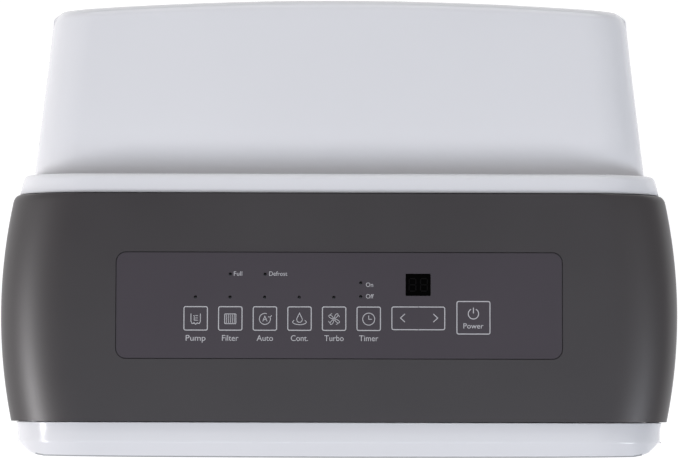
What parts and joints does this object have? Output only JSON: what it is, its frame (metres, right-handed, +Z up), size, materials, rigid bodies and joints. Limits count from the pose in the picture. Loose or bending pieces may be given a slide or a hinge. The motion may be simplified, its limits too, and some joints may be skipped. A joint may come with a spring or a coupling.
{
  "type": "dehumidifier",
  "caption": "Upright compressor dehumidifier on swivel casters, with a dark saddle-shaped control head, front bucket, rear grille and filter, and side air outlet.",
  "frame": {"origin": "on the floor under the middle of the cabinet", "axes": "+Z up, -Y is the front that the user faces and pulls the bucket from, +X is the user's right"},
  "size_m": [0.3848, 0.262, 0.616],
  "materials": {
    "white_shell": "fine-grained satin white plastic",
    "head_plastic": "satin grey-brown plastic",
    "overlay_film": "fine matt touch film",
    "key_film": "fine matt touch film",
    "lens_black": "clear gloss",
    "lamp_lens": "smoked clear",
    "dark_plastic": "matt",
    "inner_plastic": "matt",
    "tub_plastic": "translucent grey, matt",
    "window_clear": "clear smoked",
    "float_plastic": "foamed, matt",
    "filter_net": "woven nylon net",
    "coil_aluminium": "finned",
    "copper_pipe": "drawn copper",
    "compressor_steel": "gloss black",
    "rubber": "soft",
    "board": "glass-epoxy board",
    "steel": "zinc plated",
    "motor_steel": "satin",
    "can_aluminium": "drawn can",
    "clear_tube": "flexible tube",
    "plug_rubber": "moulded",
    "wheel_nylon": "hard nylon"
  },
  "bodies": {
    "cabinet": {"base_pan": "white_shell", "front_shell": "white_shell", "rear_housing": "white_shell", "top_frame": "white_shell", "top_deck": "white_shell", "front_panel": "white_shell", "head_cover": "head_plastic", "control_overlay": "overlay_film", "display_window": "lens_black", "indicator_lenses": "lamp_lens", "control_board": "board", "handle_cup_left": "dark_plastic", "handle_cup_right": "dark_plastic", "air_outlet_grille": "dark_plastic", "intake_grille": "white_shell", "bulkhead": "inner_plastic", "drip_tray": "inner_plastic", "evaporator_coil": "coil_aluminium", "condenser_coil": "coil_aluminium", "refrigerant_pipes": "copper_pipe", "compressor": "compressor_steel", "compressor_mounts": "rubber", "blower_housing": "inner_plastic", "fan_motor": "motor_steel", "condensate_pump": "dark_plastic", "water_tubes": "clear_tube", "control_box": "inner_plastic", "run_capacitor": "can_aluminium", "float_sensor": "board", "drain_outlet": "dark_plastic", "pump_hose_socket": "inner_plastic", "cord_gland": "plug_rubber", "housing_screws": "steel"},
    "bucket": {"bucket_tub": "tub_plastic", "bucket_front": "white_shell", "level_window": "window_clear"},
    "bail": {"bucket_bail": "white_shell"},
    "float": {"bucket_float": "float_plastic"},
    "filter": {"filter_frame": "dark_plastic", "filter_mesh": "filter_net"},
    "blower": {"blower_wheel": "dark_plastic", "motor_shaft": "steel"},
    "plug": {"drain_plug": "plug_rubber"},
    "key_pump_body": {"key_pump": "key_film"},
    "key_filter_body": {"key_filter": "key_film"},
    "key_auto_body": {"key_auto": "key_film"},
    "key_continuous_body": {"key_continuous": "key_film"},
    "key_turbo_body": {"key_turbo": "key_film"},
    "key_timer_body": {"key_timer": "key_film"},
    "key_down_body": {"key_down": "key_film"},
    "key_up_body": {"key_up": "key_film"},
    "key_power_body": {"key_power": "key_film"},
    "swivel_front_left": {"caster_fork_front_left": "dark_plastic"},
    "wheel_front_left": {"caster_wheel_front_left": "wheel_nylon"},
    "swivel_front_right": {"caster_fork_front_right": "dark_plastic"},
    "wheel_front_right": {"caster_wheel_front_right": "wheel_nylon"},
    "swivel_rear_left": {"caster_fork_rear_left": "dark_plastic"},
    "wheel_rear_left": {"caster_wheel_rear_left": "wheel_nylon"},
    "swivel_rear_right": {"caster_fork_rear_right": "dark_plastic"},
    "wheel_rear_right": {"caster_wheel_rear_right": "wheel_nylon"}
  },
  "joints": [
    {"name": "press_pump", "type": "slide", "parent": "cabinet", "child": "key_pump_body", "axis": [0, 0, -1], "range_m": [0, 0.0005], "stiffness_N_per_m": 2000, "springref_m": -0.0002},
    {"name": "press_filter", "type": "slide", "parent": "cabinet", "child": "key_filter_body", "axis": [0, 0, -1], "range_m": [0, 0.0005], "stiffness_N_per_m": 2000, "springref_m": -0.0002},
    {"name": "press_auto", "type": "slide", "parent": "cabinet", "child": "key_auto_body", "axis": [0, 0, -1], "range_m": [0, 0.0005], "stiffness_N_per_m": 2000, "springref_m": -0.0002},
    {"name": "press_continuous", "type": "slide", "parent": "cabinet", "child": "key_continuous_body", "axis": [0, 0, -1], "range_m": [0, 0.0005], "stiffness_N_per_m": 2000, "springref_m": -0.0002},
    {"name": "press_turbo", "type": "slide", "parent": "cabinet", "child": "key_turbo_body", "axis": [0, 0, -1], "range_m": [0, 0.0005], "stiffness_N_per_m": 2000, "springref_m": -0.0002},
    {"name": "press_timer", "type": "slide", "parent": "cabinet", "child": "key_timer_body", "axis": [0, 0, -1], "range_m": [0, 0.0005], "stiffness_N_per_m": 2000, "springref_m": -0.0002},
    {"name": "press_down", "type": "slide", "parent": "cabinet", "child": "key_down_body", "axis": [0, 0, -1], "range_m": [0, 0.0005], "stiffness_N_per_m": 2000, "springref_m": -0.0002},
    {"name": "press_up", "type": "slide", "parent": "cabinet", "child": "key_up_body", "axis": [0, 0, -1], "range_m": [0, 0.0005], "stiffness_N_per_m": 2000, "springref_m": -0.0002},
    {"name": "press_power", "type": "slide", "parent": "cabinet", "child": "key_power_body", "axis": [0, 0, -1], "range_m": [0, 0.0005], "stiffness_N_per_m": 2000, "springref_m": -0.0002},
    {"name": "bucket_slide", "type": "slide", "parent": "cabinet", "child": "bucket", "axis": [0, -1, 0], "range_m": [0, 0.26]},
    {"name": "bail_hinge", "type": "hinge", "parent": "bucket", "child": "bail", "pos_m": [0, -0.06, 0.232], "axis": [-1, 0, 0], "range_deg": [0, 90]},
    {"name": "float_hinge", "type": "hinge", "parent": "bucket", "child": "float", "pos_m": [0.11, -0.014, 0.215], "axis": [-1, 0, 0], "range_deg": [0, 20]},
    {"name": "filter_slide", "type": "slide", "parent": "cabinet", "child": "filter", "axis": [-1, 0, 0], "range_m": [0, 0.3]},
    {"name": "blower_spin", "type": "hinge", "parent": "cabinet", "child": "blower", "pos_m": [0, -0.03, 0.43], "axis": [0, 1, 0], "continuous": true},
    {"name": "plug_pull", "type": "slide", "parent": "cabinet", "child": "plug", "axis": [0, 1, 0], "range_m": [0, 0.03]},
    {"name": "swivel_front_left", "type": "hinge", "parent": "cabinet", "child": "swivel_front_left", "pos_m": [-0.162, -0.092, 0.05], "axis": [0, 0, 1], "continuous": true},
    {"name": "roll_front_left", "type": "hinge", "parent": "swivel_front_left", "child": "wheel_front_left", "pos_m": [-0.162, -0.08, 0.018], "axis": [1, 0, 0], "continuous": true},
    {"name": "swivel_front_right", "type": "hinge", "parent": "cabinet", "child": "swivel_front_right", "pos_m": [0.162, -0.092, 0.05], "axis": [0, 0, 1], "continuous": true},
    {"name": "roll_front_right", "type": "hinge", "parent": "swivel_front_right", "child": "wheel_front_right", "pos_m": [0.162, -0.08, 0.018], "axis": [1, 0, 0], "continuous": true},
    {"name": "swivel_rear_left", "type": "hinge", "parent": "cabinet", "child": "swivel_rear_left", "pos_m": [-0.138, 0.096, 0.05], "axis": [0, 0, 1], "continuous": true},
    {"name": "roll_rear_left", "type": "hinge", "parent": "swivel_rear_left", "child": "wheel_rear_left", "pos_m": [-0.138, 0.108, 0.018], "axis": [1, 0, 0], "continuous": true},
    {"name": "swivel_rear_right", "type": "hinge", "parent": "cabinet", "child": "swivel_rear_right", "pos_m": [0.138, 0.096, 0.05], "axis": [0, 0, 1], "continuous": true},
    {"name": "roll_rear_right", "type": "hinge", "parent": "swivel_rear_right", "child": "wheel_rear_right", "pos_m": [0.138, 0.108, 0.018], "axis": [1, 0, 0], "continuous": true}
  ]
}
